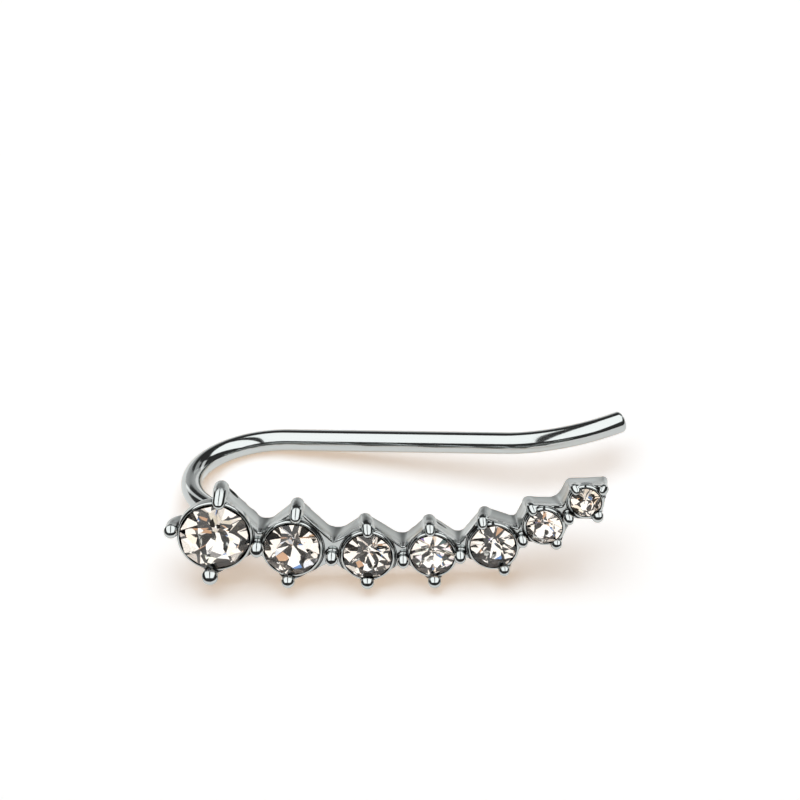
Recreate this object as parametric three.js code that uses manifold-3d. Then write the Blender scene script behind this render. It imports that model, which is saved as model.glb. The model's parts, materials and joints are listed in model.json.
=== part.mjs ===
// A silver-tone ear climber: a curved row of seven graduated glass stones in four-prong settings, cast
// in one piece, with a round ear wire soldered behind the largest setting.
//
// Lengths are in millimetres and angles in degrees. The row is drawn lying flat: x runs along it from
// the centre of the largest stone, y across it towards the upper prongs, and z out of its face, with
// z = 0 on the back. The last section turns the finished row to the way it rests on a table.

import * as THREE from "three";
import { mergeVertices } from "three/addons/utils/BufferGeometryUtils.js";
import Module from "manifold-3d";

const wasm = await Module();
wasm.setup();

// ---- Driving dimensions ----------------------------------------------------------------------------

// One row for each setting, from the large end. stone: girdle diameter. along: direction of the
// setting's own axis. upper and lower: from the centre to the beads of those prongs. bead and foot:
// radius of the upper and of the lower bead.
const SETTINGS = [
  { stone: 3.45, along: -8, upper: 2.0, lower: 2.12, bead: 0.34, foot: 0.4 },
  { stone: 2.75, along: -8, upper: 1.87, lower: 1.86, bead: 0.32, foot: 0.33 },
  { stone: 2.4, along: -2, upper: 1.42, lower: 1.44, bead: 0.29, foot: 0.33 },
  { stone: 2.15, along: 3, upper: 1.43, lower: 1.48, bead: 0.28, foot: 0.33 },
  { stone: 2.25, along: 22, upper: 1.43, lower: 1.4, bead: 0.28, foot: 0.28 },
  { stone: 1.75, along: 32, upper: 1.12, lower: 1.1, bead: 0.26, foot: 0.29 },
  { stone: 1.5, along: 36, upper: 0.89, lower: 0.95, bead: 0.25, foot: 0.3 },
];

// The columns of each setting's prongs at the back. column: their radius. splay and lean: how far they
// stand outwards and along the setting's axis there, measured from their beads.
const COLUMNS = [
  { column: 0.39, splay: 0.19, lean: 0.04 },
  { column: 0.35, splay: 0.07, lean: 0 },
  { column: 0.35, splay: 0.03, lean: -0.2 },
  { column: 0.35, splay: -0.08, lean: -0.12 },
  { column: 0.33, splay: -0.04, lean: 0.08 },
  { column: 0.27, splay: 0.03, lean: -0.32 },
  { column: 0.24, splay: -0.02, lean: -0.44 },
];

// One row for each link between neighbours. pitch and heading: the step from stone to stone. share:
// from the first stone's centre to the prong that both share. neck and neckBack: half the link's width
// at the face and at the back. hollow: radius of the round valley beside it at the back. drift: how
// far that valley moves along the link at the back.
const LINKS = [
  { pitch: 3.85, heading: -10, share: 2.15, neck: 0.53, neckBack: 0.71, hollow: 1.05, drift: 0.25 },
  { pitch: 3.75, heading: -6, share: 2.0, neck: 0.58, neckBack: 0.69, hollow: 1.15, drift: 0.05 },
  { pitch: 3.2, heading: 1, share: 1.77, neck: 0.43, neckBack: 0.56, hollow: 0.75, drift: -0.1 },
  { pitch: 3.05, heading: 9, share: 1.38, neck: 0.36, neckBack: 0.42, hollow: 0.65, drift: -0.05 },
  { pitch: 2.77, heading: 23, share: 1.53, neck: 0.4, neckBack: 0.58, hollow: 0.4, drift: -0.24 },
  { pitch: 2.48, heading: 33, share: 1.35, neck: 0.42, neckBack: 0.62, hollow: 0.75, drift: -0.4 },
];

// From the end stones' centres to the claw at the large end and the prong at the small end, and how far
// that prong leans towards its stone at the back.
const FIRST_END_REACH = 2.18;
const LAST_END_REACH = 1.18;
const LAST_END_LEAN = 0.2;

// The casting: height of its face, the cups' wall at the face and how far they narrow to the back,
// the corners round the prongs, the chamfers, and the radius of the hollows at the face.
const FACE = 1.35;
const RIM = 0.18;
const CUP_TAPER = 0.42;
const CORNER = 0.2;
const BACK_CHAMFER = 0.12;
const FRONT_CHAMFER = 0.05;
const HOLLOW_FRONT = 0.12;

// The notches beside the round large end: their radius, their turn past the outer prongs, and their
// gap to the end.
const NOTCH_RADIUS = 0.25;
const NOTCH_TURN = 22;
const NOTCH_GAP = 0.03;

// Heights of the beads' centres above the face: the setting's own as a share of its stone, the claw's
// and the shared one's. The shared bead's size, and how far it stands to the lower side. The prongs'
// narrow places as shares of the bead.
const BEAD_LIFT = 0.087;
const CLAW_LIFT = 0.12;
const SHARED_LIFT = 0.45;
const SHARED_BEAD = 1.1;
const SHARED_SINK = 0.17;
const COLUMN_WAIST = 0.92;
const POST_WAIST = 0.85;
const POST_SHOULDER = 0.5;

// The claw at the large end: how far it starts below its bead and inside it, and its thickness.
const CLAW_DEPTH = 1.2;
const CLAW_RETURN = 0.8;
const CLAW_RADIUS = 0.35;

// The collar round each stone, and the gap between stone and metal.
const COLLAR_LIFT = 0.12;
const COLLAR_WALL = 0.11;
const SEAT_GAP = 0.05;

// The stones: thickness of the girdle, and crown height, table width and pavilion depth as shares of
// the girdle's diameter. The star and lower facets meet at these shares of the crown and pavilion.
const GIRDLE = 0.06;
const CROWN = 0.18;
const TABLE = 0.5;
const PAVILION = 0.4;
const STAR_DROP = 0.45;
const LOWER_RISE = 0.25;

// The ear wire, in its own plane: its diameter, the ellipse of its bend with its turn, start and end
// angles, the end of its straight run, and the curve of its flared tip. Then the plane's heading and lean.
const WIRE = 1.1;
const BEND = { along: 2.75, depth: 3.85, reach: 3.83, drop: 4.51, turn: 58, from: 195, to: 22 };
const RUN_END = { along: 14.1, depth: 5.38 };
const FLARE_IN = { along: 15.65, depth: 5.03 };
const FLARE_OUT = { along: 17.95, depth: 5.33 };
const TIP = { along: 19.9, depth: 6.52 };
const WIRE_HEADING = 6;
const WIRE_LEAN = 3.4;

// How the finished earring rests: the lean of its back from upright, and the roll along the row.
const REST_LEAN = 20.531;
const REST_ROLL = 1.452;

// Fineness of the round shapes.
const CUP_SIDES = 28;
const PRONG_SIDES = 10;
const FACETS = 8;
const DOME_STEPS = 2;
const CLAW_STEPS = 6;
const WIRE_STEPS = 48;
const ARC_STEPS = { corner: 2, hollow: 4, notch: 3, largeEnd: 12 };
const WELD_DISTANCE = 1e-5;

// ---- Meshes and solids -----------------------------------------------------------------------------

function radians(degrees) {
  return THREE.MathUtils.degToRad(degrees);
}

function solidFrom(geometry) {
  const bare = geometry.clone();
  bare.deleteAttribute("normal");
  bare.deleteAttribute("uv");
  const merged = mergeVertices(bare, WELD_DISTANCE);
  const mesh = new wasm.Mesh({
    numProp: 3,
    vertProperties: merged.attributes.position.array,
    triVerts: new Uint32Array(merged.index.array),
  });
  return new wasm.Manifold(mesh);
}

function geometryFrom(solid) {
  const mesh = solid.getMesh();
  const geometry = new THREE.BufferGeometry();
  geometry.setAttribute("position", new THREE.BufferAttribute(mesh.vertProperties, 3));
  geometry.setIndex(new THREE.BufferAttribute(mesh.triVerts, 1));
  return geometry;
}

// A shape turned about z, from a profile of [radius, height] pairs.
function turned(profile, sides) {
  const points = profile.map(([radius, height]) => new THREE.Vector2(radius, height));
  return new THREE.LatheGeometry(points, sides).rotateX(Math.PI / 2);
}

// ---- Plan of the row -------------------------------------------------------------------------------

function direction(degrees) {
  const angle = radians(degrees);
  return new THREE.Vector2(Math.cos(angle), Math.sin(angle));
}

function leftOf(vector) {
  return new THREE.Vector2(-vector.y, vector.x);
}

function offset(from, towards, distance) {
  return from.clone().addScaledVector(towards, distance);
}

// The settings with their centres and directions, and the links with their shared prongs.
// prongs: the upper and the lower one, each with its side, its reach and the radius of its bead.
const row = [];
const links = [];
SETTINGS.forEach((setting, index) => {
  const along = direction(setting.along);
  const link = LINKS[index - 1];
  const centre = link
    ? offset(row[index - 1].centre, direction(link.heading), link.pitch)
    : new THREE.Vector2(0, 0);
  const prongs = [
    { side: 1, reach: setting.upper, bead: setting.bead },
    { side: -1, reach: setting.lower, bead: setting.foot },
  ];
  const columns = COLUMNS[index];
  row.push({ ...setting, ...columns, centre, along, across: leftOf(along), turn: setting.along, prongs });
  if (link) {
    const step = direction(link.heading);
    const prong = offset(row[index - 1].centre, step, link.share);
    links.push({ ...link, prong, step, across: leftOf(step) });
  }
});

const first = row[0];
const last = row[row.length - 1];
const firstEnd = offset(first.centre, first.along, -FIRST_END_REACH);
const lastEnd = offset(last.centre, last.along, LAST_END_REACH);

// Where a prong stands at one depth: 0 is at its bead and 1 at the back.
function prongPlace(setting, prong, depth) {
  const outwards = prong.side * (prong.reach + setting.splay * depth);
  return offset(offset(setting.centre, setting.across, outwards), setting.along, setting.lean * depth);
}

// ---- Outline: a belt of lines and arcs drawn round circles -------------------------------------------

// turn is 1 where the belt wraps a circle of the casting, and -1 where it rounds a hollow outside it.
function pulley(centre, radius, turn, steps) {
  return { centre, radius, turn, steps };
}

// Directions of the straight stretch that leaves one pulley and meets the next.
function stretchDirection(from, to) {
  const line = to.centre.clone().sub(from.centre);
  const swing = (to.turn * to.radius - from.turn * from.radius) / line.length();
  return line.angle() - Math.asin(swing);
}

function belt(pulleys) {
  const count = pulleys.length;
  const points = [];
  pulleys.forEach((wheel, index) => {
    const arriving = stretchDirection(pulleys[(index + count - 1) % count], wheel);
    const leaving = stretchDirection(wheel, pulleys[(index + 1) % count]);
    const swing = Math.atan2(Math.sin(leaving - arriving), Math.cos(leaving - arriving));
    for (let step = 0; step <= wheel.steps; step += 1) {
      const angle = arriving + (swing * step) / wheel.steps - (wheel.turn * Math.PI) / 2;
      const spoke = new THREE.Vector2(Math.cos(angle), Math.sin(angle));
      points.push(offset(wheel.centre, spoke, wheel.radius));
    }
  });
  return points;
}

// The casting's outline at one depth: 0 is the face and 1 the back. inset draws it in, for a chamfer.
// The large end is round, because only a claw stands out there.
function outlineAt(depth, inset) {
  const roundEnd = first.stone / 2 + RIM - CUP_TAPER * depth;

  function corner(centre) {
    return pulley(centre, CORNER - inset, 1, ARC_STEPS.corner);
  }

  function hollowBeside(link, side) {
    const neck = THREE.MathUtils.lerp(link.neck, link.neckBack, depth);
    const hollow = THREE.MathUtils.lerp(HOLLOW_FRONT, link.hollow, depth);
    const middle = offset(link.prong, link.step, link.drift * depth);
    const centre = offset(middle, link.across, side * (neck + hollow));
    return pulley(centre, hollow + inset, -1, ARC_STEPS.hollow);
  }

  function flank(side) {
    return row.flatMap((setting, index) => {
      const prong = setting.prongs.find((candidate) => candidate.side === side);
      const wheel = corner(prongPlace(setting, prong, depth));
      return index < links.length ? [wheel, hollowBeside(links[index], side)] : [wheel];
    });
  }

  // The notch between an outer prong and the round end.
  function notch(side) {
    const spoke = direction(first.turn + side * (90 + NOTCH_TURN));
    const reach = roundEnd + NOTCH_RADIUS + NOTCH_GAP;
    return pulley(offset(first.centre, spoke, reach), NOTCH_RADIUS + inset, -1, ARC_STEPS.notch);
  }

  const largeEnd = pulley(first.centre, roundEnd - inset, 1, ARC_STEPS.largeEnd);
  const smallEnd = corner(offset(lastEnd, last.along, -LAST_END_LEAN * depth));
  return belt([largeEnd, notch(-1), ...flank(-1), smallEnd, ...flank(1).reverse(), notch(1)]);
}

// A closed loft through sections that all have the same number of points.
function loft(sections) {
  const count = sections[0].length;
  const positions = sections.flatMap((section) => section.flatMap((point) => point.toArray()));
  const indices = [];
  for (let level = 0; level + 1 < sections.length; level += 1) {
    for (let index = 0; index < count; index += 1) {
      const next = (index + 1) % count;
      const a = level * count + index;
      const b = level * count + next;
      indices.push(a, b, b + count);
      indices.push(a, b + count, a + count);
    }
  }
  const bottom = sections[0].map((point) => new THREE.Vector2(point.x, point.y));
  const top = sections[sections.length - 1].map((point) => new THREE.Vector2(point.x, point.y));
  const topStart = (sections.length - 1) * count;
  THREE.ShapeUtils.triangulateShape(bottom, []).forEach(([a, b, c]) => indices.push(a, c, b));
  THREE.ShapeUtils.triangulateShape(top, []).forEach(([a, b, c]) =>
    indices.push(topStart + a, topStart + b, topStart + c),
  );
  const geometry = new THREE.BufferGeometry();
  geometry.setAttribute("position", new THREE.Float32BufferAttribute(positions, 3));
  geometry.setIndex(indices);
  return geometry;
}

// ---- Casting ---------------------------------------------------------------------------------------

function castingBody() {
  const levels = [
    { z: 0, depth: 1, inset: BACK_CHAMFER },
    { z: BACK_CHAMFER, depth: 1, inset: 0 },
    { z: FACE / 2, depth: 0.5, inset: 0 },
    { z: FACE - FRONT_CHAMFER, depth: 0, inset: 0 },
    { z: FACE, depth: 0, inset: FRONT_CHAMFER },
  ];
  const sections = levels.map(({ z, depth, inset }) =>
    outlineAt(depth, inset).map((point) => new THREE.Vector3(point.x, point.y, z)),
  );
  return solidFrom(loft(sections));
}

// A dome of short straight steps, as [radius, height] pairs from its widest ring to its top.
function dome(radius, height, centreHeight) {
  const points = [];
  for (let step = 1; step < DOME_STEPS; step += 1) {
    const angle = (Math.PI / 2) * (step / DOME_STEPS);
    points.push([radius * Math.cos(angle), centreHeight + height * Math.sin(angle)]);
  }
  points.push([0, centreHeight + height]);
  return points;
}

// A prong column: domed at the back, a little narrower towards the face, with a ball at its front. It
// is sheared to stand at one place at the back and hold its ball over another.
function prongColumn(front, back, bead, setting) {
  const { column, stone } = setting;
  const ball = FACE + BEAD_LIFT * stone;
  const profile = [
    ...dome(column, -column, column).reverse(),
    [column, column],
    [bead * COLUMN_WAIST, ball - bead],
    [bead, ball],
    ...dome(bead, bead, ball),
  ];
  const shift = front.clone().sub(back).divideScalar(ball);
  const shear = new THREE.Matrix4().makeShear(0, 0, 0, 0, shift.x, shift.y);
  return solidFrom(turned(profile, PRONG_SIDES).applyMatrix4(shear).translate(back.x, back.y, 0));
}

// The prong that two neighbours share: a post with a ball on it, standing between their stones.
function sharedPost(place, radius) {
  const ball = FACE + SHARED_LIFT;
  const profile = [
    [0, FACE / 2],
    [radius * POST_WAIST, FACE / 2],
    [radius * POST_WAIST, ball - radius * POST_SHOULDER],
    [radius, ball],
    ...dome(radius, radius, ball),
  ];
  return solidFrom(turned(profile, PRONG_SIDES).translate(place.x, place.y, 0));
}

// A round bar along a curve.
function bar(route, diameter, steps) {
  const section = new THREE.Shape();
  section.absarc(0, 0, diameter / 2, 0, 2 * Math.PI, false);
  const options = { steps, curveSegments: PRONG_SIDES / 2, extrudePath: route };
  return solidFrom(new THREE.ExtrudeGeometry(section, options));
}

// The claw at the large end: a bar that springs from the cup's lower wall and rises to a ball.
function endClaw(place, bead) {
  const inner = offset(place, first.along, CLAW_RETURN);
  const ball = FACE + CLAW_LIFT;
  const route = new THREE.QuadraticBezierCurve3(
    new THREE.Vector3(inner.x, inner.y, ball - CLAW_DEPTH),
    new THREE.Vector3(place.x, place.y, ball - CLAW_DEPTH),
    new THREE.Vector3(place.x, place.y, ball),
  );
  const ballProfile = [...dome(bead, -bead, 0).reverse(), [bead, 0], ...dome(bead, bead, 0)];
  const ballShape = turned(ballProfile, PRONG_SIDES).translate(place.x, place.y, ball);
  return bar(route, 2 * CLAW_RADIUS, CLAW_STEPS).add(solidFrom(ballShape));
}

// The round cup that holds a stone, with a thin raised collar at its mouth.
function cup(setting) {
  const wall = setting.stone / 2 + RIM;
  const collar = setting.stone / 2 + SEAT_GAP + COLLAR_WALL;
  const profile = [
    [0, 0],
    [wall - CUP_TAPER - BACK_CHAMFER, 0],
    [wall - CUP_TAPER, BACK_CHAMFER],
    [wall, FACE - FRONT_CHAMFER],
    [collar, FACE],
    [collar, FACE + COLLAR_LIFT],
    [0, FACE + COLLAR_LIFT],
  ];
  return solidFrom(turned(profile, CUP_SIDES).translate(setting.centre.x, setting.centre.y, 0));
}

// The cutter for a stone's seat, which follows the stone at the seat's gap: a cone round its pointed
// back, and a lower cone over its crown, which notches the beads that hold the stone down.
function seatCutter(setting) {
  const radius = setting.stone / 2;
  const mouth = radius + SEAT_GAP;
  const girdleTop = FACE + COLLAR_LIFT;
  const girdleBottom = girdleTop - GIRDLE - SEAT_GAP;
  const point = girdleBottom - PAVILION * setting.stone - SEAT_GAP;
  const tableTop = girdleTop + CROWN * setting.stone;
  const starReach = THREE.MathUtils.lerp(radius * TABLE, radius, STAR_DROP) / Math.cos(Math.PI / FACETS);
  const starHeight = THREE.MathUtils.lerp(tableTop, girdleTop, STAR_DROP);
  const profile = [
    [0, point],
    [mouth, girdleBottom],
    [mouth, girdleTop + SEAT_GAP / 2],
    [starReach + SEAT_GAP, starHeight + SEAT_GAP],
    [radius * TABLE + SEAT_GAP, tableTop + SEAT_GAP],
    [0, tableTop + SEAT_GAP],
  ];
  return solidFrom(turned(profile, CUP_SIDES).translate(setting.centre.x, setting.centre.y, 0));
}

// ---- Ear wire --------------------------------------------------------------------------------------

// The wire is bent in one plane that stands almost square to the back. x runs along the row and y is
// the depth behind the back.
function wirePlan() {
  const plan = new THREE.Path();
  const { along, depth, reach, drop, turn, from, to } = BEND;
  plan.absellipse(along, depth, reach, drop, radians(from), radians(to), true, radians(turn));
  plan.lineTo(RUN_END.along, RUN_END.depth);
  plan.bezierCurveTo(
    FLARE_IN.along,
    FLARE_IN.depth,
    FLARE_OUT.along,
    FLARE_OUT.depth,
    TIP.along,
    TIP.depth,
  );
  return plan;
}

function wireRoute() {
  const heading = radians(WIRE_HEADING);
  const lean = Math.tan(radians(WIRE_LEAN));
  const points = wirePlan().getSpacedPoints(WIRE_STEPS);
  const route = points.map(
    ({ x, y }) =>
      new THREE.Vector3(x * Math.cos(heading), x * Math.sin(heading) + y * lean, -y),
  );
  return new THREE.CatmullRomCurve3(route, false, "centripetal");
}

function earWire() {
  return bar(wireRoute(), WIRE, WIRE_STEPS);
}

// ---- Stones ----------------------------------------------------------------------------------------

// A round brilliant with eight main facets above and below the girdle, centred on the z axis.
function stoneGeometry(setting) {
  const radius = setting.stone / 2;
  const girdleTop = FACE + COLLAR_LIFT;
  const girdleBottom = girdleTop - GIRDLE;
  const tableTop = girdleTop + CROWN * setting.stone;
  const culet = girdleBottom - PAVILION * setting.stone;
  const halfTurn = Math.PI / FACETS;
  const slant = Math.cos(halfTurn);

  const positions = [];

  function ring(distance, height, sides, startAngle) {
    const start = positions.length / 3;
    for (let side = 0; side < sides; side += 1) {
      const angle = startAngle + (2 * Math.PI * side) / sides;
      positions.push(distance * Math.cos(angle), distance * Math.sin(angle), height);
    }
    return start;
  }

  const tableRadius = radius * TABLE;
  const starReach = THREE.MathUtils.lerp(tableRadius, radius, STAR_DROP) / slant;
  const starHeight = THREE.MathUtils.lerp(tableTop, girdleTop, STAR_DROP);
  const lowerReach = (radius * LOWER_RISE) / slant;
  const lowerHeight = THREE.MathUtils.lerp(culet, girdleBottom, LOWER_RISE);

  const table = ring(tableRadius, tableTop, FACETS, 0);
  const star = ring(starReach, starHeight, FACETS, halfTurn);
  const upperGirdle = ring(radius, girdleTop, 2 * FACETS, 0);
  const lowerGirdle = ring(radius, girdleBottom, 2 * FACETS, 0);
  const lower = ring(lowerReach, lowerHeight, FACETS, halfTurn);
  const tableCentre = ring(0, tableTop, 1, 0);
  const culetPoint = ring(0, culet, 1, 0);

  const indices = [];
  for (let side = 0; side < FACETS; side += 1) {
    const next = (side + 1) % FACETS;
    const main = 2 * side;
    const between = main + 1;
    const mainNext = 2 * next;
    indices.push(tableCentre, table + side, table + next);
    indices.push(table + side, star + side, table + next);
    indices.push(table + side, upperGirdle + main, star + side);
    indices.push(table + next, star + side, upperGirdle + mainNext);
    indices.push(star + side, upperGirdle + main, upperGirdle + between);
    indices.push(star + side, upperGirdle + between, upperGirdle + mainNext);
    indices.push(upperGirdle + main, lowerGirdle + main, lowerGirdle + between);
    indices.push(upperGirdle + main, lowerGirdle + between, upperGirdle + between);
    indices.push(upperGirdle + between, lowerGirdle + between, lowerGirdle + mainNext);
    indices.push(upperGirdle + between, lowerGirdle + mainNext, upperGirdle + mainNext);
    indices.push(lower + side, lowerGirdle + between, lowerGirdle + main);
    indices.push(lower + side, lowerGirdle + mainNext, lowerGirdle + between);
    indices.push(lower + side, lowerGirdle + main, culetPoint);
    indices.push(lower + side, culetPoint, lowerGirdle + mainNext);
  }
  const geometry = new THREE.BufferGeometry();
  geometry.setAttribute("position", new THREE.Float32BufferAttribute(positions, 3));
  geometry.setIndex(indices);
  return geometry;
}

// ---- Assembly --------------------------------------------------------------------------------------

function settingRowWithEarWire() {
  let metal = castingBody();
  row.forEach((setting) => {
    setting.prongs.forEach((prong) => {
      const front = prongPlace(setting, prong, 0);
      const back = prongPlace(setting, prong, 1);
      metal = metal.add(prongColumn(front, back, prong.bead, setting));
    });
    metal = metal.add(cup(setting));
  });
  links.forEach((link, index) => {
    const radius = (SHARED_BEAD * (row[index].bead + row[index + 1].bead)) / 2;
    metal = metal.add(sharedPost(offset(link.prong, link.across, -SHARED_SINK), radius));
  });
  metal = metal.add(endClaw(firstEnd, first.bead));
  metal = metal.add(prongColumn(lastEnd, offset(lastEnd, last.along, -LAST_END_LEAN), last.bead, last));
  metal = metal.add(earWire());
  row.forEach((setting) => {
    metal = metal.subtract(seatCutter(setting));
  });
  return geometryFrom(metal);
}

const silverPlate = new THREE.MeshStandardMaterial({ color: 0xc9cccf, roughness: 0.12, metalness: 1 });
const cutGlass = new THREE.MeshStandardMaterial({ color: 0xf4efe8, roughness: 0.03, metalness: 0 });

function metalWork() {
  const metal = new THREE.Mesh(settingRowWithEarWire(), silverPlate);
  metal.name = "setting_row_with_ear_wire";
  return metal;
}

function stones() {
  return row.map((setting, index) => {
    const stone = new THREE.Mesh(stoneGeometry(setting), cutGlass);
    stone.name = `stone_${index + 1}`;
    stone.position.set(setting.centre.x, setting.centre.y, 0);
    return stone;
  });
}

// The earring rests on two lower prong columns and the bend of its wire, with its face tipped back and
// its small end hardly raised. The origin is the middle of its box, on the surface it rests on.
const faceUp = new THREE.Group();
faceUp.add(metalWork(), ...stones());
faceUp.rotation.x = radians(90 - REST_LEAN);

const resting = new THREE.Group();
resting.add(faceUp);
resting.rotation.y = radians(REST_ROLL);
resting.updateMatrixWorld(true);

const box = new THREE.Box3().setFromObject(resting, true);
const middle = box.getCenter(new THREE.Vector3());
resting.position.set(-middle.x, -middle.y, -box.min.z);

const earring = new THREE.Group();
earring.add(resting);

export default earring;
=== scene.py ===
# An ear climber earring in rhodium tone: seven foiled glass stones in one cast row of settings, with a
# round ear wire soldered behind the largest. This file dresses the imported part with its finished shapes
# and surfaces.

import json
import math
import random

import bmesh
import bpy
from mathutils import Euler, Matrix, Vector
from mathutils.geometry import interpolate_bezier


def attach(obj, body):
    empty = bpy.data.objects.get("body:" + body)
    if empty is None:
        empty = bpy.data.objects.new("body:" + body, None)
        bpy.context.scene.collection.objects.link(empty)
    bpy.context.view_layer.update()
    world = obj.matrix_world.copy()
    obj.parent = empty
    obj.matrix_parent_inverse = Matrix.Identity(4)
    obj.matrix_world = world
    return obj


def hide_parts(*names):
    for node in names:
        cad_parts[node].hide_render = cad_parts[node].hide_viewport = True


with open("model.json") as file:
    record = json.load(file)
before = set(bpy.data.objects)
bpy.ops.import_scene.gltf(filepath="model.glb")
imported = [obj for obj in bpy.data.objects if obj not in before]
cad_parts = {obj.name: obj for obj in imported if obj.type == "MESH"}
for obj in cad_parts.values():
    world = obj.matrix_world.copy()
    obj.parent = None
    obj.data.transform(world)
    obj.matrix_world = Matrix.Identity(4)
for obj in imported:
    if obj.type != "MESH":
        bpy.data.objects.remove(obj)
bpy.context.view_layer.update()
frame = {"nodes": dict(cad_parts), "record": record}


# ---- The row as it is drawn -------------------------------------------------------------------------
# Each shape is drawn with the row lying flat, in millimetres and degrees: x along it from the middle of
# the large stone, y across it to the upper prongs, z out of its face from the back at 0. Then settle lays
# it where the part rests, which the flat back's mount and the point of the large stone give.

MM = 0.001

# Each setting: its stone's width, its heading, the reach of its upper and lower prongs at the face, and
# the radii of their ends.
SETTINGS = [
    dict(stone=3.45, along=-8, upper=2.00, lower=2.12, bead=0.34, foot=0.40),
    dict(stone=2.75, along=-8, upper=1.87, lower=1.74, bead=0.32, foot=0.33),
    dict(stone=2.40, along=-2, upper=1.42, lower=1.39, bead=0.29, foot=0.33),
    dict(stone=2.15, along=3, upper=1.43, lower=1.40, bead=0.28, foot=0.33),
    dict(stone=2.25, along=22, upper=1.43, lower=1.36, bead=0.28, foot=0.28),
    dict(stone=1.75, along=32, upper=1.12, lower=1.07, bead=0.26, foot=0.29),
    dict(stone=1.50, along=36, upper=0.89, lower=0.95, bead=0.25, foot=0.30),
]
# Its prongs behind the face: their radius, and how far they splay and lean by the back.
COLUMNS = [
    dict(column=0.39, splay=0.19, lean=0.04),
    dict(column=0.35, splay=0.07, lean=0),
    dict(column=0.35, splay=0.03, lean=-0.20),
    dict(column=0.35, splay=-0.08, lean=-0.12),
    dict(column=0.33, splay=-0.04, lean=0.08),
    dict(column=0.27, splay=0.03, lean=-0.32),
    dict(column=0.24, splay=-0.02, lean=-0.44),
]
# From each setting to the next: the step, how far along it the shared post stands, half the wall's width
# there at the face and at the back, the depth of its hollow, and its drift by the back.
LINKS = [
    dict(pitch=3.85, heading=-10, share=2.15, neck=0.53, neck_back=0.71, hollow=1.05, drift=0.25),
    dict(pitch=3.75, heading=-6, share=2.00, neck=0.58, neck_back=0.69, hollow=1.15, drift=0.05),
    dict(pitch=3.20, heading=1, share=1.77, neck=0.43, neck_back=0.56, hollow=0.75, drift=-0.10),
    dict(pitch=3.05, heading=9, share=1.38, neck=0.36, neck_back=0.42, hollow=0.65, drift=-0.05),
    dict(pitch=2.77, heading=23, share=1.53, neck=0.40, neck_back=0.58, hollow=0.40, drift=-0.24),
    dict(pitch=2.48, heading=33, share=1.35, neck=0.42, neck_back=0.62, hollow=0.75, drift=-0.40),
]
# The stones stand just above the face. Their backs, fronts and tables are shares of their width, and
# their facets come in rings of eight, with flats a little nearer the axis than the corners.
FACE = 1.35
GIRDLE_LIFT = 0.12
GIRDLE_TOP = FACE + GIRDLE_LIFT
GIRDLE = 0.06
PAVILION = 0.4
CROWN = 0.18
TABLE = 0.5
STAR_DROP = 0.45
FACETS = 8
HALF_STEP = 180 / FACETS
FLAT_REACH = math.cos(math.radians(HALF_STEP))
TOUCHING = 1e-5


def heading(degrees):
    return Vector((math.cos(math.radians(degrees)), math.sin(math.radians(degrees)), 0))


def left_of(direction):
    return Vector((-direction.y, direction.x, 0))


def prong_place(setting, side, depth):
    """Where a prong stands at one depth, 0 at its bead and 1 at the back; side is 1 for the upper one."""
    reach = setting["upper" if side > 0 else "lower"] + setting["splay"] * depth
    return setting["centre"] + setting["across"] * reach * side + setting["axis"] * setting["lean"] * depth


centre = Vector((0, 0, 0))
for setting, columns, link in zip(SETTINGS, COLUMNS, LINKS + [None]):
    setting.update(columns)
    setting["centre"] = centre
    setting["axis"] = heading(setting["along"])
    setting["across"] = left_of(setting["axis"])
    if link:
        link["step"] = heading(link["heading"])
        link["across"] = left_of(link["step"])
        link["prong"] = centre + link["step"] * link["share"]
        centre = centre + link["step"] * link["pitch"]

facing = -Vector(frame["record"]["mounts"][0]["axis"])
sideways = Vector((facing.z, 0, -facing.x)).normalized()
upwards = facing.cross(sideways)
turning = Matrix((sideways, upwards, facing)).transposed()
large_stone = frame["nodes"]["stone_1"].data.vertices
point = min((vertex.co for vertex in large_stone), key=facing.dot)
point_height = GIRDLE_TOP - GIRDLE - PAVILION * SETTINGS[0]["stone"]
row_start = point - facing * point_height * MM
back_level = row_start.dot(facing)
settle = Matrix.Translation(row_start) @ turning.to_4x4() @ Matrix.Scale(MM, 4)


# ---- Casting ----------------------------------------------------------------------------------------
# The row is one casting in plated base metal: a tapered zigzag wall, a cup for each stone, upper prongs
# bent over their stones, pressed heads on the lower prongs and posts, and a claw at the large end. All
# run softly into each other and into the wire's solder. Each stone's seat is cut last, in a thin collar.

CUP_TAPER = 0.42
RIM = 0.13
LARGE_RIM = 0.15
CORNER = 0.24
CORNER_ROUND = 0.14
HOLLOW_FRONT = 0.12
HOLLOW_TUCK = 0.18
HOLLOW_ROUND = 0.62
BAR_SIDES = 48
WAIST = 0.96
BEAD_LIFT = 0.087
CLAW_LIFT = 0.12
POST_LIFT = 0.45
POST_BEAD = 1.1
POST_SINK = 0.17
POST_WAIST = 0.85
POST_LENGTH = 1.15
PAD_LEAN = 28
PAD_FLATNESS = 0.6
HEAD_SPREAD = 1.08
FIRST_END_REACH = 2.18
LAST_END_REACH = 1.18
LAST_END_LEAN = 0.2
CLAW_DEPTH = 1.2
CLAW_RETURN = 0.8
CLAW_RADIUS = 0.38
CLAW_HANDLE = 2 / 3
CLAW_STEPS = 24
CLAW_SIDES = 32
KNUCKLE = 0.5
CROOK = 0.35
CROOK_STEPS = 16
NOD = 0.43
TIP_TAPER = 0.96
TIP_FLATNESS = 0.62
TIP_LEAN = 50
SOFTNESS = 0.05
SMOOTHING = 0.5
SMOOTH_PASSES = 6
SPIN_STEPS = 96
COLLAR = 0.16
COLLAR_DEPTH = 0.3
COLLAR_ROUND = 0.10
COLLAR_STEPS = 6
GROOVE = 0.05
SEAT = 0.05
CRISP = 40
SOLDER = dict(place=(1.35, 0.1, 0.0), size=(0.80, 0.72, 0.90))
SLOTS = [
    dict(place=(0.90, 1.76, 0.2), along=-50),
    dict(place=(11.12, 0.20, 0.5), along=-37),
]
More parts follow.
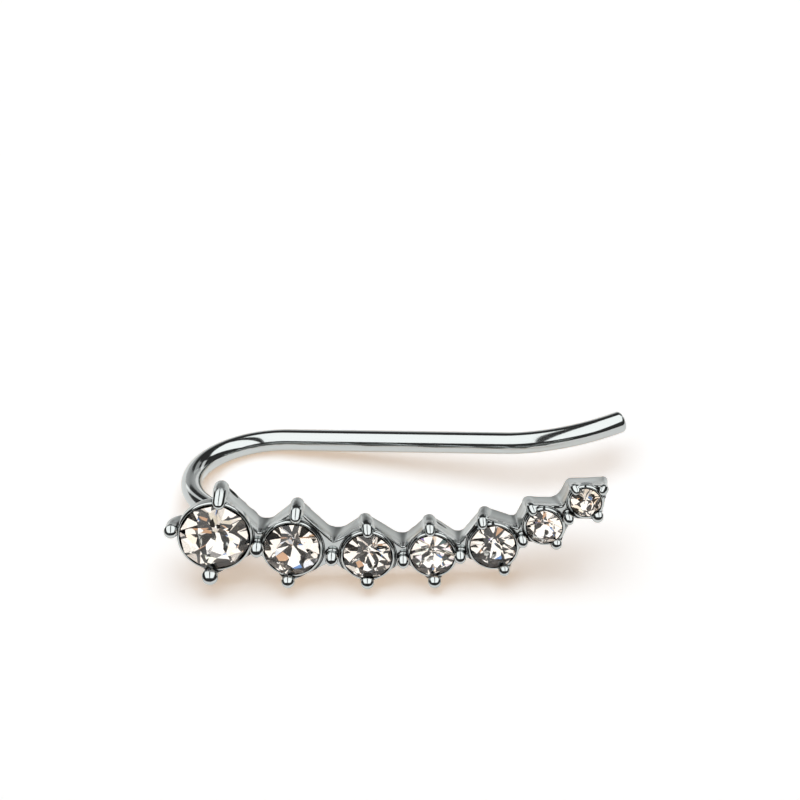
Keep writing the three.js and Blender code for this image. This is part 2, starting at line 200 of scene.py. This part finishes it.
SLOT_SIZE = (0.34, 0.13, 0.12)

# The plate is polished from one height above the back to the next, gets painted shade in its recesses,
# and gets painted shade and painted highlight from its height as a share of the row's depth.
POLISH_FROM = 0.85
POLISH_TO = 1.2
GLOSS_SPREAD = 0.2
RECESS_REACH = 0.32
PLATE_TONE_AND_PAINTED_RECESS_SHADE = [(0.45, (0.05, 0.05, 0.05)), (0.85, (0.53, 0.56, 0.555))]
BACK_STOP = 0.015
PAINTED_SHADE_AND_HIGHLIGHT_BY_HEIGHT = [(0.07, 0.7), (0.22, 0.95), (0.5, 1.15), (0.8, 0.8), (0.96, 1)]


def at(place, height=0.0):
    """The move to a place in the row, at a height above its back."""
    return Matrix.Translation((place.x, place.y, height))


def wall_corners(depth):
    """The wall's corners at one depth, 0 at the face and 1 at the back, each with its rounding."""
    flanks = {1: [], -1: []}
    for side, flank in flanks.items():
        for setting, link in zip(SETTINGS, LINKS + [None]):
            corner = prong_place(setting, side, depth) + setting["across"] * side * CORNER
            flank.append((corner, CORNER_ROUND))
            if link:
                hollow = HOLLOW_FRONT + (link["hollow"] - HOLLOW_FRONT) * depth
                neck = link["neck"] + (link["neck_back"] - link["neck"]) * depth - HOLLOW_TUCK * hollow
                middle = link["prong"] + link["step"] * link["drift"] * depth
                flank.append((middle + link["across"] * side * neck, HOLLOW_ROUND * hollow))
    first, last = SETTINGS[0], SETTINGS[-1]
    tip = last["centre"] + last["axis"] * (LAST_END_REACH + CORNER - LAST_END_LEAN * depth)
    return [(first["centre"], CORNER_ROUND)] + flanks[-1] + [(tip, CORNER_ROUND)] + flanks[1][::-1]


def wall_loop(bm, depth, height):
    """The wall's outline at one depth, as a face with rounded corners."""
    corners = wall_corners(depth)
    verts = [bm.verts.new((place.x, place.y, height)) for place, _ in corners]
    bm.faces.new(verts)
    for vert, (_, rounding) in zip(verts, corners):
        bmesh.ops.bevel(
            bm, geom=[vert], offset=rounding, offset_type="OFFSET", segments=10, profile=0.5,
            affect="VERTICES", material=-1,
        )


def wall(bm):
    """The zigzag wall, as a solid between its face and its back."""
    wall_loop(bm, 1, 0)
    wall_loop(bm, 0, FACE)
    bmesh.ops.bridge_loops(bm, edges=bm.edges[:])
    bmesh.ops.recalc_face_normals(bm, faces=bm.faces)


def blob(bm, radius, lying):
    """A ball, or an egg if its matrix stretches it."""
    bmesh.ops.create_icosphere(bm, subdivisions=4, radius=radius, matrix=lying)


def stem(bm, low, high, low_radius, high_radius):
    """A round bar between two places, leaning but with level ends."""
    rise = high.z - low.z
    lean = Matrix.Shear("XY", 4, ((high.x - low.x) / rise, (high.y - low.y) / rise))
    bmesh.ops.create_cone(
        bm, cap_ends=True, segments=BAR_SIDES, radius1=low_radius, radius2=high_radius,
        depth=rise, matrix=Matrix.Translation((low + high) / 2) @ lean,
    )


def pad(bm, place, along, radius, length):
    """A prong's head, pressed flat: a squashed ball whose flat side leans up across the row."""
    turn = Matrix.Rotation(math.radians(along), 4, "Z") @ Matrix.Rotation(math.radians(-PAD_LEAN), 4, "X")
    blob(bm, radius, Matrix.Translation(place) @ turn @ Matrix.Diagonal((1, length, PAD_FLATNESS, 1)))


def foot(bm, front, back, setting):
    """A lower prong's column, domed at the back, with its pressed head at the face."""
    column, bead = setting["column"], setting["foot"]
    head = front + Vector((0, 0, FACE + BEAD_LIFT * setting["stone"]))
    blob(bm, column, at(back, column))
    stem(bm, back + Vector((0, 0, column)), head, column, bead * WAIST)
    pad(bm, head, setting["along"], bead * HEAD_SPREAD, 1)


def facing_along(route_heading, across):
    """The turn from a bar's own frame, with its width, its thickness and its length as axes."""
    thickness = route_heading.cross(across).normalized()
    return Matrix((thickness.cross(route_heading), thickness, route_heading)).transposed().to_4x4()


def sweep(bm, route, radius, sides, end_radius=None, across=(1, 0, 0), flatness=1):
    """A bar along a route, with flat ends and an even taper. It starts round and ends as flat as asked.
    Gives back the edges of its far end."""
    steps = len(route) - 1
    narrowing = ((end_radius or radius) / radius) ** (1 / steps)
    taper = (narrowing, narrowing * flatness ** (1 / steps), narrowing)
    headings = [(after - before).normalized() for before, after in zip(route, route[1:])]
    headings.append(headings[-1])
    square_on = Vector((0, 0, 1)).rotation_difference(headings[0]).to_matrix().to_4x4()
    ring = bmesh.ops.create_circle(
        bm, segments=sides, radius=radius, cap_ends=True,
        matrix=Matrix.Translation(route[0]) @ square_on,
    )["verts"]
    edges = list(dict.fromkeys(edge for vert in ring for edge in vert.link_edges))
    going = headings[0]
    for before, after, coming, leaving in zip(route, route[1:], headings, headings[1:]):
        made = bmesh.ops.extrude_edge_only(bm, edges=edges)["geom"]
        ring = [item for item in made if isinstance(item, bmesh.types.BMVert)]
        edges = [item for item in made if isinstance(item, bmesh.types.BMEdge)
                 and item.verts[0] in ring and item.verts[1] in ring]
        mean = (coming + leaving).normalized()
        turn = going.rotation_difference(mean).to_matrix()
        bmesh.ops.rotate(bm, verts=ring, cent=before, matrix=turn)
        lying = Matrix.Translation(before) @ facing_along(mean, Vector(across))
        bmesh.ops.scale(bm, verts=ring, vec=taper, space=lying.inverted())
        bmesh.ops.translate(bm, verts=ring, vec=after - before)
        going = mean
    bmesh.ops.contextual_create(bm, geom=edges)
    bmesh.ops.recalc_face_normals(bm, faces=bm.faces)
    return edges


def finger(bm, front, back, inwards, setting):
    """An upper prong, which stands straight up from the back and bends over its stone at the end."""
    column, bead = setting["column"], setting["bead"]
    drift = (front - back) - inwards * (front - back).dot(inwards)
    knuckle = back + drift * KNUCKLE + Vector((0, 0, KNUCKLE * FACE))
    tip = front + inwards * bead * NOD + Vector((0, 0, GIRDLE_TOP))
    leaning = math.radians(TIP_LEAN)
    across = inwards.cross(Vector((0, 0, 1)))
    reach = inwards * math.sin(leaning) + Vector((0, 0, math.cos(leaning)))
    blob(bm, column, at(back, column))
    stem(bm, back + Vector((0, 0, column)), knuckle, column, column)
    bent = interpolate_bezier(
        knuckle, knuckle + Vector((0, 0, CROOK)), tip - reach * CROOK, tip, CROOK_STEPS,
    )
    sweep(bm, bent, column, BAR_SIDES, bead * TIP_TAPER, across, TIP_FLATNESS)
    pressed = Matrix.Diagonal((1, TIP_FLATNESS, 1, 1))
    blob(bm, bead * TIP_TAPER, Matrix.Translation(tip) @ facing_along(reach, across) @ pressed)


def claw(bm, setting):
    """The claw at the large end, which springs from under the cup and rises to its bead."""
    outer = setting["centre"] - setting["axis"] * FIRST_END_REACH
    top = Vector((outer.x, outer.y, FACE + CLAW_LIFT))
    elbow = top - Vector((0, 0, CLAW_DEPTH))
    root = elbow + setting["axis"] * CLAW_RETURN
    bent = interpolate_bezier(
        root, root.lerp(elbow, CLAW_HANDLE), top.lerp(elbow, CLAW_HANDLE), top, CLAW_STEPS,
    )
    sweep(bm, bent, CLAW_RADIUS, CLAW_SIDES, setting["bead"])
    pad(bm, top, setting["along"], setting["bead"] * HEAD_SPREAD, 1)


def turned(bm, profile, place):
    """A solid spun round an upright axis, from (radius, height) pairs that start and end on it."""
    verts = [bm.verts.new((place.x + radius, place.y, height)) for radius, height in profile]
    edges = [bm.edges.new(pair) for pair in zip(verts, verts[1:])]
    spin_round(bm, verts + edges, place)


def hoop(bm, place, radius, height, thickness):
    """A round bar bent to a ring."""
    upright = Matrix.Translation((place.x + radius, place.y, height)) @ Matrix.Rotation(math.pi / 2, 4, "X")
    verts = bmesh.ops.create_circle(bm, segments=16, radius=thickness, matrix=upright)["verts"]
    spin_round(bm, verts + bm.edges[:], place)


def spin_round(bm, outline, place):
    """Spins an outline into a solid round the upright axis through a place."""
    bmesh.ops.spin(
        bm, geom=outline, cent=(place.x, place.y, 0), axis=(0, 0, 1), dvec=(0, 0, 0),
        angle=2 * math.pi, steps=SPIN_STEPS, use_merge=True, use_duplicate=False,
    )
    bmesh.ops.remove_doubles(bm, verts=bm.verts, dist=TOUCHING)
    bmesh.ops.recalc_face_normals(bm, faces=bm.faces)


def object_of(bm, name):
    """An object in the scene with the drawn mesh, which is used up."""
    mesh = bpy.data.meshes.new(name)
    bm.to_mesh(mesh)
    bm.free()
    made = bpy.data.objects.new(name, mesh)
    bpy.context.scene.collection.objects.link(made)
    return made


def apply_modifiers(thing):
    graph = bpy.context.evaluated_depsgraph_get()
    done = bpy.data.meshes.new_from_object(thing.evaluated_get(graph))
    thing.modifiers.clear()
    thing.data = done


def combine(thing, tool, operation):
    """Adds the tool's solid to the thing, or cuts it out of the thing, and clears the tool away."""
    change = thing.modifiers.new(operation, "BOOLEAN")
    change.operation = operation
    change.solver = "MANIFOLD"
    change.object = tool
    apply_modifiers(thing)
    bpy.data.objects.remove(tool)


def smooth_under(mesh, degrees):
    """Shades the mesh smooth, but keeps edges sharper than the angle crisp."""
    bm = bmesh.new()
    bm.from_mesh(mesh)
    for face in bm.faces:
        face.smooth = True
    for edge in bm.edges:
        edge.smooth = edge.calc_face_angle(0) < math.radians(degrees)
    bm.to_mesh(mesh)
    bm.free()


bm = bmesh.new()
wall(bm)
for setting in SETTINGS:
    finger(bm, prong_place(setting, 1, 0), prong_place(setting, 1, 1), -setting["across"], setting)
    foot(bm, prong_place(setting, -1, 0), prong_place(setting, -1, 1), setting)
    rim = setting["stone"] / 2 + (LARGE_RIM if setting is SETTINGS[0] else RIM)
    face_middle = setting["centre"] + Vector((0, 0, FACE))
    stem(bm, setting["centre"], face_middle, rim - CUP_TAPER, rim)
for link, before, after in zip(LINKS, SETTINGS, SETTINGS[1:]):
    bead = POST_BEAD * (before["bead"] + after["bead"]) / 2
    place = link["prong"] - link["across"] * POST_SINK
    low, head = place + Vector((0, 0, FACE / 2)), place + Vector((0, 0, FACE + POST_LIFT))
    stem(bm, low, head, bead * POST_WAIST, bead * POST_WAIST)
    pad(bm, head, link["heading"], bead, POST_LENGTH)
blob(bm, 1, Matrix.LocRotScale(Vector(SOLDER["place"]), None, SOLDER["size"]))
last = SETTINGS[-1]
end = last["centre"] + last["axis"] * LAST_END_REACH
finger(bm, end, end - last["axis"] * LAST_END_LEAN, -last["axis"], last)
claw(bm, SETTINGS[0])
casting = object_of(bm, "setting_row")
union = casting.modifiers.new("union", "REMESH")
union.mode = "VOXEL"
union.voxel_size = SOFTNESS
soften = casting.modifiers.new("soften", "SMOOTH")
soften.factor = SMOOTHING
soften.iterations = SMOOTH_PASSES
apply_modifiers(casting)

for setting in SETTINGS:
    bm = bmesh.new()
    collar = setting["stone"] / 2 + COLLAR
    brow = [(collar - COLLAR_ROUND * (1 - math.cos(turn)), GIRDLE_TOP - COLLAR_ROUND * (1 - math.sin(turn)))
            for turn in [math.pi / 2 * step / COLLAR_STEPS for step in range(COLLAR_STEPS + 1)]]
    sunk = FACE - COLLAR_DEPTH
    turned(bm, [(0, sunk), (collar, sunk)] + brow + [(0, GIRDLE_TOP)], setting["centre"])
    combine(casting, object_of(bm, "collar"), "UNION")
for setting in SETTINGS:
    bm = bmesh.new()
    hoop(bm, setting["centre"], setting["stone"] / 2 + COLLAR + GROOVE, FACE, GROOVE)
    combine(casting, object_of(bm, "groove"), "DIFFERENCE")
for slot in SLOTS:
    bm = bmesh.new()
    turn = Euler((0, 0, math.radians(slot["along"])))
    blob(bm, 1, Matrix.LocRotScale(Vector(slot["place"]), turn, SLOT_SIZE))
    combine(casting, object_of(bm, "slot"), "DIFFERENCE")
for setting in SETTINGS:
    radius = setting["stone"] / 2
    bm = bmesh.new()
    bottom = GIRDLE_TOP - GIRDLE - SEAT
    top = GIRDLE_TOP + CROWN * setting["stone"]
    star_reach = radius * (TABLE + (1 - TABLE) * STAR_DROP) / FLAT_REACH
    star_height = top + (GIRDLE_TOP - top) * STAR_DROP
    turned(bm, [(0, bottom - PAVILION * setting["stone"] - SEAT), (radius + SEAT, bottom),
                (radius + SEAT, GIRDLE_TOP + SEAT / 2), (star_reach + SEAT, star_height + SEAT),
                (radius * TABLE + SEAT, top + SEAT), (0, top + SEAT)], setting["centre"])
    combine(casting, object_of(bm, "seat"), "DIFFERENCE")
casting.data.transform(settle)
smooth_under(casting.data, CRISP)


def feed(tree, node, inputs):
    """Gives a shader node its inputs. Each is a constant or another node's output."""
    for socket, value in inputs.items():
        if isinstance(value, bpy.types.NodeSocket):
            tree.links.new(value, node.inputs[socket])
        else:
            node.inputs[socket].default_value = value


def wired(tree, kind, output, inputs, **settings):
    """Adds a shader node with its settings and inputs, and gives back one of its outputs."""
    node = tree.nodes.new("ShaderNode" + kind)
    for setting, value in settings.items():
        setattr(node, setting, value)
    feed(tree, node, inputs)
    return node.outputs[output]


def ramp(tree, value, stops):
    """A colour that follows a value, from (position, colour) stops."""
    colour = wired(tree, "ValToRGB", "Color", {"Fac": value})
    shades = colour.node.color_ramp.elements
    for position, shade in stops:
        shades.new(position).color = (*shade, 1)
    shades.remove(shades[0])
    shades.remove(shades[-1])
    return colour


def material(name):
    """A new material, with its node tree and its surface."""
    made = bpy.data.materials.new(name)
    made.use_nodes = True
    return made, made.node_tree, made.node_tree.nodes["Principled BSDF"]


def rhodium(name, polished, satin, painted_back_shade, relief, grain):
    """Rhodium plate, polished on what stands proud of the face and satin behind it, with painted shade on
    its back.
    """
    plate, tree, surface = material(name)
    place = wired(tree, "TexCoord", "Object", {})
    mottle = wired(tree, "TexNoise", "Fac", {"Vector": place, "Scale": grain, "Detail": 2})
    height = wired(tree, "VectorMath", "Value", {0: place, 1: facing}, operation="DOT_PRODUCT")
    gloss = wired(tree, "MapRange", "Result", {
        "Value": height, "To Min": satin, "To Max": polished,
        "From Min": back_level + POLISH_FROM * MM, "From Max": back_level + POLISH_TO * MM,
    })
    uneven = wired(tree, "MapRange", "Result", {
        "Value": mottle, "To Min": 1 - GLOSS_SPREAD, "To Max": 1 + GLOSS_SPREAD,
    })
    level = wired(tree, "MapRange", "Result", {
        "Value": height, "From Min": back_level, "From Max": back_level + FACE * MM,
    })
    # Painted shade: the plate's tone falls to near black where its recesses close in round a place.
    recess = wired(
        tree, "AmbientOcclusion", "AO", {"Distance": RECESS_REACH * MM}, samples=8, only_local=True,
    )
    # Painted shade on the back, and painted shade and highlight by height as a share of the row's depth.
    stops = [(BACK_STOP, painted_back_shade)] + PAINTED_SHADE_AND_HIGHLIGHT_BY_HEIGHT
    shade = ramp(tree, level, [(stop, (shade, shade, shade)) for stop, shade in stops])
    plate_tone_with_painted_recess_shade = ramp(tree, recess, PLATE_TONE_AND_PAINTED_RECESS_SHADE)
    feed(tree, surface, {
        "Metallic": 1,
        "Roughness": wired(tree, "Math", "Value", {0: gloss, 1: uneven}, operation="MULTIPLY"),
        "Base Color": wired(tree, "VectorMath", "Vector", {0: plate_tone_with_painted_recess_shade, 1: shade}, operation="MULTIPLY"),
        "Normal": wired(tree, "Bump", "Normal", {"Height": mottle, "Distance": relief * MM}),
    })
    return plate


casting.data.materials.clear()
casting.data.materials.append(rhodium(
    "cast_rhodium_plate", polished=0.06, satin=0.36, painted_back_shade=0.35, relief=0.006, grain=1400,
))
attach(casting, "root")
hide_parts("setting_row_with_ear_wire")


# ---- Ear wire ---------------------------------------------------------------------------------------
# A plated round wire, bent in one plane behind the row. Its start is laid flat against the back of the
# large setting and buried in the solder there. Its free end flares away and its cut end is rounded.

WIRE = 1.1
CUT_END_ROUND = 0.2
BEND_STEPS = 48
RUN_STEPS = 12
FLARE_STEPS = 32
BEND = dict(along=2.75, depth=3.85, reach=3.83, drop=4.51, turn=58, start=191, stop=22)
RUN_END = (14.1, 5.38)
FLARE_IN = (15.65, 5.03)
FLARE_OUT = (17.95, 5.33)
TIP = (19.9, 6.52)
WIRE_HEADING = 6
WIRE_LEAN = 3.4


def behind(along, depth):
    """A place in the wire's plane, by its distance along the row and its depth behind the back."""
    flat = heading(WIRE_HEADING) * along
    return Vector((flat.x, flat.y + depth * math.tan(math.radians(WIRE_LEAN)), -depth))


def on_bend(degrees):
    """A place on the turned ellipse of the bend."""
    angle = math.radians(degrees)
    spoke = Vector((BEND["reach"] * math.cos(angle), BEND["drop"] * math.sin(angle)))
    spoke.rotate(Matrix.Rotation(math.radians(BEND["turn"]), 2))
    return behind(BEND["along"] + spoke.x, BEND["depth"] + spoke.y)


def wire_route():
    """The middle line of the wire: round its bend, along its straight run and out in its flare."""
    swing = BEND["stop"] - BEND["start"]
    bend = [on_bend(BEND["start"] + swing * step / BEND_STEPS) for step in range(BEND_STEPS)]
    bend_end, run_end = on_bend(BEND["stop"]), behind(*RUN_END)
    run = [bend_end.lerp(run_end, step / RUN_STEPS) for step in range(RUN_STEPS)]
    flare = interpolate_bezier(
        run_end, behind(*FLARE_IN), behind(*FLARE_OUT), behind(*TIP), FLARE_STEPS,
    )
    return bend + run + flare


bm = bmesh.new()
tip_edges = sweep(bm, wire_route(), WIRE / 2, BAR_SIDES)
bmesh.ops.bevel(
    bm, geom=tip_edges, offset=CUT_END_ROUND, offset_type="OFFSET", segments=6, profile=0.5,
    affect="EDGES", material=-1,
)
ear_wire = object_of(bm, "ear_wire")
ear_wire.data.transform(settle)
smooth_under(ear_wire.data, CRISP)
ear_wire.data.materials.append(rhodium(
    "wire_rhodium_plate", polished=0.09, satin=0.09, painted_back_shade=1, relief=0.002, grain=900,
))
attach(ear_wire, "root")
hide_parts("setting_row_with_ear_wire")


# ---- Stones -----------------------------------------------------------------------------------------
# Seven round stones of clear glass, each cut from a short cylinder by flat facets and held under the
# prongs. Foil behind the pointed back mirrors the light out again and gives it a warm tint, and a few
# front facets carry painted flashes: faint tints that stand in for coloured light split by the glass.

BLANK_SIDES = 64
CLEAN_CUT = 1e-6
CROWN_SLOPES = (0.2, 0.98)
FOIL_SLOPE = -0.01
BACK_BETWEEN = 0.05


def cut(bm, outside, through):
    """Grinds one facet: takes off what lies outside the plane, and closes the glass again."""
    geom = bm.verts[:] + bm.edges[:] + bm.faces[:]
    ground = bmesh.ops.bisect_plane(
        bm, geom=geom, dist=CLEAN_CUT, plane_co=through, plane_no=outside, clear_outer=True,
    )["geom_cut"]
    edges = [item for item in ground if isinstance(item, bmesh.types.BMEdge)]
    bmesh.ops.contextual_create(bm, geom=edges)


def grind(bm, turn, inner, outer, down, hand, slip):
    """A ring of facets that pass through two (radius, height) places on their own middle line."""
    rise = Vector((outer[1] - inner[1], 0, inner[0] - outer[0]))
    for index in range(FACETS):
        around = Matrix.Rotation(math.radians(turn + 360 * index / FACETS), 3, "Z")
        normal = rise.copy()
        normal.rotate(Euler([math.radians(hand.uniform(-slip, slip)) for _ in "xyz"]))
        normal = around @ normal
        if (normal.z < 0) != down:
            normal = -normal
        cut(bm, normal, around @ Vector((outer[0], 0, outer[1])))


def cut_stone(bm, size, cut_as):
    """One stone about its own axis: a table, eight mains and eight stars in front, two rings behind."""
    hand = random.Random(cut_as["seed"])
    turn, slip, table = hand.uniform(0, 2 * HALF_STEP), cut_as["slip"], cut_as["table"]
    radius = size / 2
    top = GIRDLE_TOP + CROWN * size
    bottom = GIRDLE_TOP - GIRDLE
    culet = bottom - PAVILION * size
    bmesh.ops.create_cone(
        bm, cap_ends=True, segments=BLANK_SIDES, radius1=radius, radius2=radius, depth=top - culet,
        matrix=Matrix.Translation((0, 0, (top + culet) / 2)),
    )
    star_reach = radius * (table + (1 - table) * STAR_DROP) / FLAT_REACH
    star = (star_reach, top + (GIRDLE_TOP - top) * STAR_DROP)
    back_main = (radius * (1 + FLAT_REACH) / 2, bottom)
    between = (radius, bottom + BACK_BETWEEN * size)
    grind(bm, turn, (radius * table, top), (radius, GIRDLE_TOP), False, hand, slip)
    grind(bm, turn + HALF_STEP, (radius * table * FLAT_REACH, top), star, False, hand, slip)
    grind(bm, turn + HALF_STEP, (0, culet), back_main, True, hand, slip)
    grind(bm, turn, (0, culet), between, True, hand, slip)
    bmesh.ops.remove_doubles(bm, verts=bm.verts, dist=TOUCHING)
    bmesh.ops.recalc_face_normals(bm, faces=bm.faces)


def paint_flash_on(bm, bearing, colour, tint):
    """Paints a flash of coloured light on the front facet nearest a bearing, in degrees from the row's
    direction.
    """
    aim = heading(bearing)
    steepest, flattest = CROWN_SLOPES
    facets = [face for face in bm.faces if steepest < face.normal.z < flattest]
    facet = max(facets, key=lambda face: face.calc_center_median().xy.normalized().dot(aim.xy))
    for loop in facet.loops:
        loop[tint] = (*colour, 1)


CUTS = [
    dict(table=0.50, slip=3.0, seed=51),
    dict(table=0.58, slip=1.5, seed=72),
    dict(table=0.50, slip=1.5, seed=43),
    dict(table=0.50, slip=1.5, seed=44),
    dict(table=0.42, slip=1.5, seed=85),
    dict(table=0.58, slip=1.5, seed=76),
    dict(table=0.50, slip=5.0, seed=127),
]
# The painted flashes: faint tints on a few front facets that stand in for coloured light split by the
# stones.
VIOLET = (0.80, 0.75, 0.95)
BLUE = (0.62, 0.75, 1.00)
TEAL = (0.75, 0.95, 0.95)
ORANGE = (1.00, 0.86, 0.72)
YELLOW = (1.00, 0.98, 0.80)
PAINTED_FLASHES = [
    dict(stone=1, bearing=-115, colour=YELLOW),
    dict(stone=1, bearing=165, colour=ORANGE),
    dict(stone=2, bearing=-55, colour=BLUE),
    dict(stone=2, bearing=-110, colour=ORANGE),
    dict(stone=3, bearing=-100, colour=ORANGE),
    dict(stone=4, bearing=170, colour=VIOLET),
    dict(stone=4, bearing=10, colour=TEAL),
    dict(stone=4, bearing=-80, colour=ORANGE),
    dict(stone=5, bearing=-90, colour=ORANGE),
    dict(stone=6, bearing=-45, colour=ORANGE),
    dict(stone=7, bearing=-120, colour=ORANGE),
    dict(stone=7, bearing=30, colour=ORANGE),
]

foil, tree, surface = material("stone_foil")
feed(tree, surface, {"Base Color": (0.865, 0.828, 0.785, 1), "Metallic": 1, "Roughness": 0.02})

glass, tree, surface = material("cut_glass")
# The glass takes the painted flashes from its facets' colours.
painted_fire = wired(tree, "VertexColor", "Color", {}, layer_name="painted_fire")
feed(tree, surface, {"Base Color": painted_fire, "Roughness": 0, "IOR": 1.56, "Transmission Weight": 1})

for number, (setting, cut_as) in enumerate(zip(SETTINGS, CUTS), 1):
    bm = bmesh.new()
    cut_stone(bm, setting["stone"], cut_as)
    # Every facet is white, but for a few with a painted flash of coloured light.
    tint = bm.loops.layers.float_color.new("painted_fire")
    for face in bm.faces:
        face.material_index = 1 if face.normal.z < FOIL_SLOPE else 0
        for loop in face.loops:
            loop[tint] = (1, 1, 1, 1)
    for flash in PAINTED_FLASHES:
        if flash["stone"] == number:
            paint_flash_on(bm, flash["bearing"], flash["colour"], tint)
    stone = object_of(bm, f"glass_stone_{number}")
    stone.data.transform(settle @ at(setting["centre"]))
    stone.data.materials.append(glass)
    stone.data.materials.append(foil)
    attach(stone, "root")
    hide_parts(f"stone_{number}")


# ---- Table top, light and camera --------------------------------------------------------------------
# The earring lies on a plain white table in a dim room, under two wide soft boxes, with a key light and
# a fill for the table. The table also glows warm, painted light that shows alone in its shadows and tints
# them. Cards show in the metal alone, small coloured lights in the stones alone, and a long lens looks
# down at the row's face. Places and sizes of lights are in metres.

bm = bmesh.new()
bmesh.ops.create_grid(bm, x_segments=1, y_segments=1, size=1.0)
table_top = object_of(bm, "table_top")
paper, tree, surface = material("white_table_with_painted_glow")
# Painted light: the table glows a warm colour though it is no lamp, and in its shadows the glow alone
# shows.
feed(tree, surface, {
    "Base Color": (0.9, 0.9, 0.9, 1), "Emission Color": (0.46, 0.34, 0.24, 1), "Emission Strength": 1,
    "Roughness": 0.9, "Specular IOR Level": 0,
})
table_top.data.materials.append(paper)

ROOM_LEAN = (0, -0.15, 1)
ROOM_LIFT = 0.2
ROOM_SHADES = [(0.05, (0.3, 0.3, 0.3)), (0.25, (0.045, 0.045, 0.045))]

world = bpy.data.worlds.new("dim_room")
bpy.context.scene.world = world
world.use_nodes = True
sky = world.node_tree
direction = wired(sky, "TexCoord", "Generated", {})
slope = wired(sky, "VectorMath", "Value", {0: direction, 1: ROOM_LEAN}, operation="DOT_PRODUCT")
lifted = wired(sky, "Math", "Value", {0: slope, 1: ROOM_LIFT})
feed(sky, sky.nodes["Background"], {"Color": ramp(sky, lifted, ROOM_SHADES)})

WHITE = (1, 1, 1)
TABLE_ONLY = ("diffuse",)
METAL_ONLY = ("glossy",)
STONES_ONLY = ("transmission",)
METAL_AND_STONES = ("glossy", "transmission")


def lamp(name, place, size, radiance, color, seen_by, aim=(0, 0, 0)):
    """A rectangular light, turned to what it is aimed at, that only some kinds of ray see."""
    light = bpy.data.lights.new(name, "AREA")
    light.shape = "RECTANGLE"
    light.size, light.size_y = size
    light.energy = radiance * math.pi * size[0] * size[1]
    light.color = color
    lit = bpy.data.objects.new(name, light)
    bpy.context.scene.collection.objects.link(lit)
    lit.location = place
    lit.rotation_euler = (Vector(place) - Vector(aim)).to_track_quat("Z", "Y").to_euler()
    lit.visible_camera = False
    lit.visible_diffuse = "diffuse" in seen_by
    lit.visible_glossy = "glossy" in seen_by
    lit.visible_transmission = "transmission" in seen_by


for x in (-0.175, 0.175):
    lamp("overhead_soft_box", (x, -0.075, 0.3), (0.3, 0.68), 1.6, WHITE, METAL_AND_STONES, (x, -0.075, 0))
lamp("back_card", (0, 0.6, 0.07), (1.2, 0.14), 0.4, WHITE, METAL_ONLY)
for x in (-0.42, 0.42):
    lamp("side_card", (x, 0.44, 0.14), (0.14, 0.28), 0.9, WHITE, METAL_ONLY)
lamp("bend_card", (0.18, 0.58, 0.19), (0.2, 0.16), 0.42, WHITE, METAL_ONLY)
lamp("overhead_key", (0, 0.015, 0.31), (0.30, 0.30), 2.5, (0.754, 0.9, 1), TABLE_ONLY)
lamp("soft_fill", (0, 0, 0.4), (0.8, 0.8), 0.45, (0.64, 0.8, 1), TABLE_ONLY)

GELS = [
    dict(hue="orange", place=(-0.42, 0.02, 0.22), size=(0.20, 0.20), radiance=1.0, color=(1, 0.7, 0.48)),
    dict(hue="orange", place=(0.40, 0.12, 0.20), size=(0.16, 0.20), radiance=0.8, color=(1, 0.6, 0.36)),
    dict(hue="orange", place=(-0.26, -0.38, 0.20), size=(0.10, 0.10), radiance=0.9, color=(1, 0.68, 0.46)),
    dict(hue="orange", place=(0.24, 0.40, 0.22), size=(0.14, 0.12), radiance=0.8, color=(1, 0.68, 0.46)),
    dict(hue="orange", place=(0.22, -0.42, 0.18), size=(0.08, 0.08), radiance=0.8, color=(1, 0.6, 0.36)),
    dict(hue="violet", place=(0.38, -0.24, 0.22), size=(0.07, 0.07), radiance=0.7, color=(0.45, 0.3, 1)),
    dict(hue="blue", place=(-0.10, -0.46, 0.20), size=(0.08, 0.07), radiance=1.0, color=(0.15, 0.4, 1)),
    dict(hue="teal", place=(-0.36, -0.26, 0.20), size=(0.04, 0.04), radiance=0.7, color=(0.2, 0.9, 0.9)),
]
for gel in GELS:
    name = f"{gel['hue']}_gel"
    lamp(name, gel["place"], gel["size"], gel["radiance"], gel["color"], STONES_ONLY)

bpy.context.scene.view_settings.view_transform = "Standard"

VIEW_ABOVE = 26
VIEW_ASIDE = 4
VIEW_PLACE = (9.13, 6.74, 656.8)
VIEW_LIFT = 0.1
camera = bpy.data.objects.new("camera", bpy.data.cameras.new("camera"))
bpy.context.scene.collection.objects.link(camera)
camera.data.lens = 600
camera.data.sensor_width = 36
camera.data.clip_start = 0.01
above = Matrix.Rotation(math.radians(-VIEW_ABOVE), 4, "X")
aside = Matrix.Rotation(math.radians(VIEW_ASIDE), 4, "Y")
looking = turning.to_4x4() @ above @ aside
stand = looking @ Vector(VIEW_PLACE) * MM + settle @ Vector((0, 0, FACE + VIEW_LIFT))
camera.matrix_world = Matrix.Translation(stand) @ looking
bpy.context.scene.camera = camera
